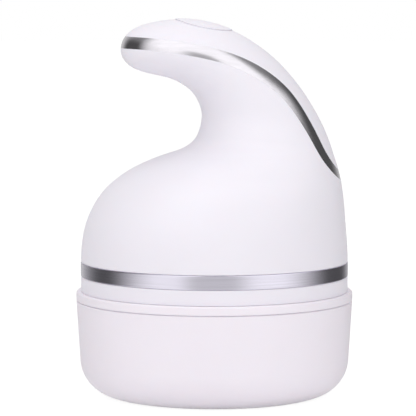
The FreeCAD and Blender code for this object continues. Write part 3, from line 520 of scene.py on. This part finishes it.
@dataclass(frozen=True)
class SolderResist(Finish):
    """Lacquered glass laminate with copper under the lacquer."""

    specular: float = 0.5
    track_pitch: float = 2.4 * MM
    track_share: float = 0.09
    track_shade: float = 1.7
    track_depth: float = 0.03 * MM
    field_shade: float = 0.86
    gloss_scale: float = 500.0
    gloss: Span = (0.26, 0.4)

    def mix(self, recipe: Recipe) -> bpy.types.Material:
        """Lighter copper tracks between fields of two tones.

        Args:
            recipe: material in the making.

        Returns:
            The finished material.
        """
        tracks = recipe.node("ShaderNodeTexBrick")
        tracks.inputs["Scale"].default_value = 1.0 / self.track_pitch
        tracks.inputs["Mortar Size"].default_value = self.track_share
        tracks.inputs["Color1"].default_value = (*self.colour, 1.0)
        tracks.inputs["Color2"].default_value = (*shaded(self.colour, self.field_shade), 1.0)
        tracks.inputs["Mortar"].default_value = (*shaded(self.colour, self.track_shade), 1.0)
        recipe.join(recipe.place, tracks.inputs["Vector"])
        return recipe.surface(
            {"Specular IOR Level": self.specular},
            {
                "Base Color": tracks.outputs["Color"],
                "Roughness": recipe.spread(recipe.noise(self.gloss_scale), self.gloss),
                "Normal": recipe.raised(tracks.outputs["Fac"], self.track_depth),
            },
        )


SHELL_WHITE = MouldedPlastic("shell_white", "shell_white", (0.85, 0.82, 0.885), roughness=0.52, glow=0.1)
CUP_WHITE = MouldedPlastic("cup_white", "cup_white", (0.88, 0.83, 0.895), roughness=0.46, glow=0.1)
INNER_GREY = MouldedPlastic("inner_grey", "inner_plastic", (0.66, 0.66, 0.67), roughness=0.48)
SWITCH_BLACK = MouldedPlastic("switch_black", "inner_plastic", (0.03, 0.03, 0.032), roughness=0.42)
NATURAL_ACETAL = MouldedPlastic(
    "natural_acetal",
    "gear_plastic",
    (0.80, 0.78, 0.71),
    roughness=0.36,
    glow=0.15,
)
BAND_SILVER = SatinMetal(
    "band_silver",
    "satin_silver",
    (0.795, 0.765, 0.865),
    roughness=0.22,
    grain=Grain.ROUND_THE_WAIST,
    grain_depth=0.0012 * MM,
    streak_reach=0.045,
)
TRIM_SILVER = SatinMetal(
    "trim_silver",
    "satin_silver",
    (0.80, 0.775, 0.82),
    roughness=0.16,
    grain=Grain.ALONG_THE_HANDLE,
    grain_depth=0.0008 * MM,
    streak_reach=0.03,
)
GROUND_STEEL = SatinMetal("ground_steel", "steel", (0.60, 0.60, 0.61), 0.24, Grain.ROUND_A_SHAFT)
PLATED_SCREW = SatinMetal("plated_screw", "steel", (0.52, 0.52, 0.54), 0.34)
CUT_BRASS = SatinMetal("cut_brass", "pinion_brass", (0.72, 0.50, 0.20), 0.30, Grain.ROUND_A_SHAFT)
MOTOR_PLATE = SatinMetal("motor_plate", "motor_can", (0.58, 0.58, 0.59), 0.34, Grain.ROUND_A_SHAFT)
TINNED_SHEET = SatinMetal("tinned_sheet", "steel", (0.66, 0.66, 0.66), 0.30)
BUSH_BRONZE = SinteredMetal("bush_bronze", "bush_bronze", (0.56, 0.34, 0.15))
SEAL_BLACK = SoftRubber("seal_black", "seal_rubber", (0.022, 0.022, 0.024), glow=0.0, sheen=0.1)
PLUG_SOFT_WHITE = SoftRubber(
    "plug_soft_white",
    "plug_silicone",
    (0.82, 0.80, 0.85),
    roughness=0.58,
    glow=0.15,
)
CLAW_SOFT_GREY = SoftRubber("claw_soft_grey", "claw_silicone", (0.62, 0.61, 0.65), roughness=0.56)
CELL_BLUE = ShrinkWrap("cell_blue", "cell_wrap", (0.035, 0.13, 0.34))
BOARD_GREEN = SolderResist("board_green", "board_green", (0.02, 0.12, 0.05))


def placed(name: str, data: bpy.types.ID) -> bpy.types.Object:
    """New object in the scene.

    Args:
        name: name of the object.
        data: its mesh, lamp or camera.

    Returns:
        The object.
    """
    thing = bpy.data.objects.new(name, data)
    bpy.context.scene.collection.objects.link(thing)
    return thing


def meshed(name: str, shape: bmesh.types.BMesh) -> bpy.types.Mesh:
    """Mesh of a worked shape, which is freed.

    Args:
        name: name of the mesh.
        shape: shape in the making.

    Returns:
        The mesh.
    """
    mesh = bpy.data.meshes.new(name)
    shape.to_mesh(mesh)
    shape.free()
    return mesh


@dataclass(frozen=True)
class SoftMoulding:
    """Soft piece in the form of a CAD node, with all its edges rounded.

    The voxel is the fineness of its skin, and smoothing counts the passes that round it.
    """

    node: str
    name: str
    body: str
    finish: Finish
    voxel: float
    smoothing: int
    smoothing_factor: float = 0.5

    def build(self) -> bpy.types.Object:
        """Makes the piece, which takes the place of its node.

        Returns:
            The piece, riding on its body.
        """
        piece = placed(self.name, self.form())
        self.round_off(piece)
        piece.data.materials.append(self.finish.material())
        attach(piece, self.body)
        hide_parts(self.node)
        LOG.info("moulded %s in %s", self.name, self.finish.name)
        return piece

    def form(self) -> bpy.types.Mesh:
        """Bare copy of the node's mesh.

        Returns:
            The copy.
        """
        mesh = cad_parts[self.node].data.copy()
        mesh.materials.clear()
        return mesh

    def round_off(self, piece: bpy.types.Object) -> None:
        """Gives the piece one closed, rounded skin.

        Args:
            piece: piece in its node's form.
        """
        remesh = piece.modifiers.new("skin", "REMESH")
        remesh.mode = "VOXEL"
        remesh.voxel_size = self.voxel
        rounding = piece.modifiers.new("rounding", "SMOOTH")
        rounding.factor = self.smoothing_factor
        rounding.iterations = self.smoothing
        graph = bpy.context.evaluated_depsgraph_get()
        skin = bpy.data.meshes.new_from_object(piece.evaluated_get(graph))
        piece.modifiers.clear()
        piece.data = skin
        for polygon in skin.polygons:
            polygon.use_smooth = True


class SubAssembly(ABC):
    """Group of pieces that are built and dressed together."""

    def build(self) -> None:
        """Keeps the CAD shapes, where a group has no soft piece."""

    @abstractmethod
    def finishes(self) -> dict[str, Finish]:
        """The finish of each CAD node in the group."""

    def dress(self) -> None:
        """Gives each CAD node its finish."""
        for node, finish in self.finishes().items():
            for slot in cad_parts[node].material_slots:
                slot.material = finish.material()
            LOG.info("dressed %s in %s", node, finish.name)


@dataclass
class HookBody(SubAssembly):
    """Dome, handle, trim, waist band and lower housing."""

    def finishes(self) -> dict[str, Finish]:
        """White mouldings and satin metal."""
        return {
            "main_housing": SHELL_WHITE,
            "handle_cover": SHELL_WHITE,
            "lower_housing": SHELL_WHITE,
            "handle_trim": TRIM_SILVER,
            "waist_band": BAND_SILVER,
        }


@dataclass
class StorageCup(SubAssembly):
    """Cup that the body stands in, and its collar."""

    def finishes(self) -> dict[str, Finish]:
        """Both are moulded in the same white."""
        return {"cover_cup": CUP_WHITE, "cover_collar": CUP_WHITE}


@dataclass
class MassageHeads(SubAssembly):
    """Four turning heads with soft fingers."""

    skin_voxel: float = 0.5 * MM
    skin_smoothing: int = 6

    def build(self) -> None:
        """Makes the soft skins, blended where the fingers leave the pads."""
        for number in HEAD_NUMBERS:
            SoftMoulding(
                node=f"claw_skin_{number}",
                name=f"soft_claws_{number}",
                body=f"head_{number}",
                finish=CLAW_SOFT_GREY,
                voxel=self.skin_voxel,
                smoothing=self.skin_smoothing,
            ).build()

    def finishes(self) -> dict[str, Finish]:
        """Grey carriers under the skins.

        Returns:
            The finish of each node.
        """
        nodes: dict[str, Finish] = {}
        for number in HEAD_NUMBERS:
            nodes[f"claw_hub_{number}"] = INNER_GREY
            nodes[f"claw_skin_{number}"] = CLAW_SOFT_GREY
        return nodes


@dataclass
class GearTrain(SubAssembly):
    """Wheels, shafts, bushes, seals and clips."""

    seal_voxel: float = 0.2 * MM
    seal_smoothing: int = 2

    def build(self) -> None:
        """Makes the soft seals."""
        SoftMoulding(
            node="shaft_seals",
            name="lip_seals",
            body="housing",
            finish=SEAL_BLACK,
            voxel=self.seal_voxel,
            smoothing=self.seal_smoothing,
        ).build()

    def finishes(self) -> dict[str, Finish]:
        """Acetal wheels on steel shafts in bronze bushes, and a brass pinion.

        Returns:
            The finish of each node.
        """
        nodes: dict[str, Finish] = {
            "gearbox_cover": INNER_GREY,
            "lower_bushes": BUSH_BRONZE,
            "upper_bushes": BUSH_BRONZE,
            "shaft_seals": SEAL_BLACK,
            "drive_gear": NATURAL_ACETAL,
            "motor_pinion": CUT_BRASS,
        }
        for number in HEAD_NUMBERS:
            nodes[f"head_gear_{number}"] = NATURAL_ACETAL
            nodes[f"head_shaft_{number}"] = GROUND_STEEL
            nodes[f"head_clip_{number}"] = PLATED_SCREW
        return nodes


@dataclass
class MotorUnit(SubAssembly):
    """Geared motor with its shaft and screws."""

    def finishes(self) -> dict[str, Finish]:
        """Plated can, ground shaft."""
        return {
            "gear_motor": MOTOR_PLATE,
            "motor_shaft": GROUND_STEEL,
            "motor_screws": PLATED_SCREW,
        }


@dataclass
class PowerSet(SubAssembly):
    """Battery, boards, switch, button and charge port, and the screws of boards and body."""

    plug_voxel: float = 0.3 * MM
    plug_smoothing: int = 3

    def build(self) -> None:
        """Makes the soft plug."""
        SoftMoulding(
            node="port_plug",
            name="soft_plug",
            body="charge_plug",
            finish=PLUG_SOFT_WHITE,
            voxel=self.plug_voxel,
            smoothing=self.plug_smoothing,
        ).build()

    def finishes(self) -> dict[str, Finish]:
        """Each piece in its own finish."""
        return {
            "battery": CELL_BLUE,
            "battery_cradle": INNER_GREY,
            "power_button": SHELL_WHITE,
            "switch_plunger": SWITCH_BLACK,
            "tact_switch": SWITCH_BLACK,
            "circuit_board": BOARD_GREEN,
            "charge_board": BOARD_GREEN,
            "charge_socket": TINNED_SHEET,
            "port_plug": PLUG_SOFT_WHITE,
            "board_screws": PLATED_SCREW,
            "body_screws": PLATED_SCREW,
        }


@dataclass(frozen=True)
class Outlook:
    """Direction of each place on the tent from its middle, in degrees."""

    bearing: Socket
    height: Socket
    above_hem: Socket


@dataclass
class LightTent:
    """Dome of white cloth round the table, seen only in reflections.

    Angles are in degrees. Bearings count from the camera's side, to the right as the camera sees it.
    A pair of angles says where a tone begins to change and where it ends. A lean or a turn shifts an
    edge by so many degrees for each degree of height. The right edge gets sharper by its steepness with
    each degree above the hem.
    """

    radius: float = 0.2
    middle: Point = (0.0, 0.0, 0.09)
    segments: int = 64
    dark: float = 0.08
    cloth_levels: Span = (0.93, 1.09)
    cloth_rise: Span = (-12.0, 20.0)
    hem: float = -18.0
    left_edge: Span = (-93.0, -42.0)
    left_lean: float = -0.42
    left_knee: float = 14.0
    left_turn: float = 0.7
    right_edge: Span = (48.0, 104.0)
    right_steepness: float = 0.0095
    roof_from: float = 35.0
    roof_lean: float = 4.1
    roof_rise: Span = (58.0, 78.0)
    roof_share: float = 0.3
    gap_left: Span = (-36.0, -12.0)
    gap_right: Span = (12.0, 40.0)
    gap_leans: Span = (-0.28, 0.2)
    gap_rise: Span = (-14.0, 4.0)
    gap_shares: Span = (0.46, 0.60)
    gap_top: Span = (18.0, 36.0)
    ceiling: float = 0.28
    ceiling_rise: Span = (30.0, 62.0)
    table: float = 0.8
    table_drop: Span = (28.0, 56.0)
    back_wall: float = 0.55
    left_wall: Span = (100.0, 156.0)
    right_wall: Span = (126.0, 158.0)

    def build(self) -> bpy.types.Object:
        """Makes the dome.

        Returns:
            The dome.
        """
        sphere = bmesh.new()
        bmesh.ops.create_uvsphere(
            sphere,
            u_segments=self.segments,
            v_segments=self.segments // 2,
            radius=self.radius,
        )
        dome = placed("light_tent", meshed("light_tent", sphere))
        dome.location = self.middle
        dome.data.materials.append(self.material())
        dome.visible_camera = False
        dome.visible_diffuse = False
        dome.visible_shadow = False
        dome.visible_transmission = False
        return dome

    def material(self) -> bpy.types.Material:
        """White cloth in front with a gap for the camera, a dark room beyond it and a pale wall behind.

        Returns:
            The finished material.
        """
        recipe = Recipe("tent_cloth")
        outlook = self.outlook(recipe)
        cloth = self.cloth(recipe, outlook)
        shown = recipe.times(cloth, self.beside_gap(recipe, outlook))
        lit_cloth = recipe.times(shown, self.cloth_level(recipe, outlook))
        room = recipe.plus(lit_cloth, self.pale_room(recipe, outlook, cloth))
        walled = recipe.plus(room, self.walls_behind(recipe, outlook))
        emission = recipe.node("ShaderNodeEmission")
        recipe.join(recipe.plus(walled, self.dark), emission.inputs["Strength"])
        recipe.join(emission.outputs["Emission"], recipe.output.inputs["Surface"])
        return recipe.material

    def outlook(self, recipe: Recipe) -> Outlook:
        """Works out the direction of each place on the dome.

        Args:
            recipe: material in the making.

        Returns:
            The direction.
        """
        axes = recipe.node("ShaderNodeSeparateXYZ")
        recipe.join(recipe.place, axes.inputs["Vector"])
        toward = recipe.times(axes.outputs["Y"], -1.0)
        turn = recipe.worked("ARCTAN2", axes.outputs["X"], toward)
        rise = recipe.worked("ARCSINE", recipe.worked("DIVIDE", axes.outputs["Z"], self.radius))
        height = recipe.times(rise, DEGREES_IN_RADIAN)
        return Outlook(recipe.times(turn, DEGREES_IN_RADIAN), height, recipe.above(height, self.hem))

    def cloth(self, recipe: Recipe, outlook: Outlook) -> Socket:
        """Share of cloth at each place, before its gap is cut.

        Args:
            recipe: material in the making.
            outlook: direction of each place.

        Returns:
            The share, 1 in the middle of the cloth and 0 beyond its edges.
        """
        above_knee = recipe.above(outlook.height, self.left_knee)
        leaning = recipe.plus(outlook.bearing, recipe.times(outlook.above_hem, self.left_lean))
        from_left = recipe.plus(leaning, recipe.times(above_knee, self.left_turn))
        right_start, right_end = self.right_edge
        reach = recipe.worked("SUBTRACT", outlook.bearing, right_end)
        steepness = recipe.plus(recipe.times(outlook.above_hem, self.right_steepness), 1.0)
        in_roof = recipe.above(outlook.height, self.roof_from)
        from_right = recipe.plus(recipe.times(reach, steepness), recipe.times(in_roof, self.roof_lean))
        left_side = recipe.eased(from_left, self.left_edge)
        right_side = recipe.eased(from_right, (right_start - right_end, 0.0), FALLING)
        return recipe.times(left_side, right_side)

    def beside_gap(self, recipe: Recipe, outlook: Outlook) -> Socket:
        """Share of the cloth that the camera's gap leaves.

        Args:
            recipe: material in the making.
            outlook: direction of each place.

        Returns:
            The share, 1 away from the gap.
        """
        left_lean, right_lean = self.gap_leans
        from_left = recipe.plus(outlook.bearing, recipe.times(outlook.above_hem, left_lean))
        from_right = recipe.plus(outlook.bearing, recipe.times(outlook.above_hem, right_lean))
        left_side = recipe.eased(from_left, self.gap_left)
        right_side = recipe.eased(from_right, self.gap_right, FALLING)
        upward = recipe.eased(outlook.height, self.gap_rise, self.gap_shares)
        under_top = recipe.eased(outlook.height, self.gap_top, FALLING)
        gap = recipe.times(left_side, right_side)
        depth = recipe.times(upward, under_top)
        return recipe.eased(recipe.times(gap, depth), RISING, FALLING)

    def cloth_level(self, recipe: Recipe, outlook: Outlook) -> Socket:
        """Light of the cloth, which grows up the wall and falls in the roof.

        Args:
            recipe: material in the making.
            outlook: direction of each place.

        Returns:
            The level.
        """
        wall = recipe.eased(outlook.height, self.cloth_rise, self.cloth_levels)
        roof = recipe.eased(outlook.height, self.roof_rise, (1.0, self.roof_share))
        return recipe.times(wall, roof)

    def pale_room(self, recipe: Recipe, outlook: Outlook, cloth: Socket) -> Socket:
        """Light of the ceiling and the table beyond the cloth.

        Args:
            recipe: material in the making.
            outlook: direction of each place.
            cloth: share of cloth at each place.

        Returns:
            The level.
        """
        ceiling = recipe.eased(outlook.height, self.ceiling_rise, (0.0, self.ceiling))
        drop = recipe.times(outlook.height, -1.0)
        table = recipe.eased(drop, self.table_drop, (0.0, self.table))
        beyond = recipe.eased(cloth, RISING, FALLING)
        return recipe.times(recipe.plus(ceiling, table), beyond)

    def walls_behind(self, recipe: Recipe, outlook: Outlook) -> Socket:
        """Light of the pale wall behind the object.

        Args:
            recipe: material in the making.
            outlook: direction of each place.

        Returns:
            The level.
        """
        levels = (0.0, self.back_wall)
        to_left = recipe.times(outlook.bearing, -1.0)
        left_side = recipe.eased(to_left, self.left_wall, levels)
        right_side = recipe.eased(outlook.bearing, self.right_wall, levels)
        return recipe.plus(left_side, right_side)


@dataclass(frozen=True)
class Softbox:
    """Square soft lamp that faces the middle of the object."""

    name: str
    place: Point
    side: float
    watts: float
    aim: Point = (0.0, 0.0, 0.06)

    def build(self) -> bpy.types.Object:
        """Makes the lamp.

        Returns:
            The lamp.
        """
        lamp = bpy.data.lights.new(self.name, "AREA")
        lamp.size = self.side
        lamp.energy = self.watts
        box = placed(self.name, lamp)
        box.location = self.place
        direction = Vector(self.aim) - Vector(self.place)
        box.rotation_euler = direction.to_track_quat("-Z", "Y").to_euler()
        return box


@dataclass
class Studio:
    """Floor, light and camera."""

    floor_side: float = 8.0
    floor_paper: Colour = (0.93, 0.93, 0.93)
    floor_glow: float = 1.14
    floor_glow_share: float = 0.8
    room_light: float = 0.66
    camera_place: Point = (-0.002265, -1.0, 0.15762)
    camera_pitch_deg: float = 5.193
    camera_clip: Span = (0.05, 50.0)
    focal_pixels: float = 2813.954
    sensor_mm: float = 36.0
    softboxes: tuple[Softbox, ...] = (
        Softbox("key_box", (-0.6, -0.6, 1.1), side=0.8, watts=3.0),
        Softbox("front_box", (0.0, -1.45, 0.25), side=0.9, watts=2.55),
        Softbox("fill_box", (0.75, -0.85, 0.45), side=0.8, watts=1.1),
        Softbox("top_box", (0.0, 0.0, 1.3), side=0.9, watts=3.3),
    )
    tent: LightTent = field(default_factory=LightTent)

    def build(self) -> None:
        """Makes the whole set."""
        self.floor()
        self.room()
        for softbox in self.softboxes:
            softbox.build()
        self.tent.build()
        self.camera()

    def floor(self) -> bpy.types.Object:
        """Pale floor that keeps a soft shadow.

        Returns:
            The floor.
        """
        plane = bmesh.new()
        bmesh.ops.create_grid(plane, x_segments=1, y_segments=1, size=self.floor_side / 2)
        floor = placed("floor", meshed("floor", plane))
        floor.data.materials.append(self.floor_material())
        floor.visible_glossy = False
        return floor

    def floor_material(self) -> bpy.types.Material:
        """White paper, which looks white to the camera and is clear from below.

        Returns:
            The finished material.
        """
        recipe = Recipe("floor_paper")
        paper = recipe.node("ShaderNodeBsdfDiffuse")
        paper.inputs["Color"].default_value = (*self.floor_paper, 1.0)
        white = recipe.node("ShaderNodeEmission")
        white.inputs["Color"].default_value = OPAQUE_WHITE
        white.inputs["Strength"].default_value = self.floor_glow
        seen = self.seen_rays(recipe.tree, ("Is Transmission Ray",))
        lit = recipe.node("ShaderNodeMixShader")
        recipe.join(recipe.times(seen, self.floor_glow_share), lit.inputs["Fac"])
        recipe.join(paper.outputs["BSDF"], lit.inputs[1])
        recipe.join(white.outputs["Emission"], lit.inputs[2])
        clear = recipe.node("ShaderNodeBsdfTransparent")
        side = recipe.node("ShaderNodeNewGeometry")
        sided = recipe.node("ShaderNodeMixShader")
        recipe.join(side.outputs["Backfacing"], sided.inputs["Fac"])
        recipe.join(lit.outputs["Shader"], sided.inputs[1])
        recipe.join(clear.outputs["BSDF"], sided.inputs[2])
        recipe.join(sided.outputs["Shader"], recipe.output.inputs["Surface"])
        return recipe.material

    def seen_rays(self, tree: bpy.types.NodeTree, others: tuple[str, ...]) -> Socket:
        """Factor that is 1 for rays that show the background.

        Args:
            tree: node tree that gets the nodes.
            others: kinds of ray that show it, beside those from the camera.

        Returns:
            The factor.
        """
        path = tree.nodes.new("ShaderNodeLightPath")
        total = path.outputs["Is Camera Ray"]
        for name in others:
            either = tree.nodes.new("ShaderNodeMath")
            either.operation = "MAXIMUM"
            tree.links.new(total, either.inputs[0])
            tree.links.new(path.outputs[name], either.inputs[1])
            total = either.outputs["Value"]
        return total

    def room(self) -> None:
        """White room that shows as white and lights the object at a plain level."""
        world = bpy.data.worlds.new("white_room")
        bpy.context.scene.world = world
        world.use_nodes = True
        tree = world.node_tree
        background = tree.nodes["Background"]
        background.inputs["Color"].default_value = OPAQUE_WHITE
        level = tree.nodes.new("ShaderNodeMapRange")
        level.inputs["To Min"].default_value = self.room_light
        level.inputs["To Max"].default_value = 1.0
        seen = self.seen_rays(tree, ("Is Glossy Ray", "Is Transmission Ray"))
        tree.links.new(seen, level.inputs["Value"])
        tree.links.new(level.outputs["Result"], background.inputs["Strength"])

    def camera(self) -> bpy.types.Object:
        """Camera at the viewing angle of the picture.

        Returns:
            The camera.
        """
        lens = bpy.data.cameras.new("camera")
        lens.sensor_width = self.sensor_mm
        lens.lens = self.focal_pixels / IMAGE_SIDE_PIXELS * self.sensor_mm
        lens.clip_start, lens.clip_end = self.camera_clip
        camera = placed("camera", lens)
        camera.location = self.camera_place
        camera.rotation_euler = (math.radians(QUARTER_TURN_DEG - self.camera_pitch_deg), 0.0, 0.0)
        bpy.context.scene.camera = camera
        return camera


def main() -> None:
    """Builds and dresses each sub-assembly, then the studio."""
    logging.basicConfig(level=logging.INFO, format="%(message)s")
    scene = bpy.context.scene
    scene.view_settings.view_transform = "Standard"
    for assembly in (HookBody(), StorageCup(), MassageHeads(), GearTrain(), MotorUnit(), PowerSet()):
        assembly.build()
        assembly.dress()
        LOG.info("built %s", type(assembly).__name__)
    Studio().build()


if __name__ == "__main__":
    main()
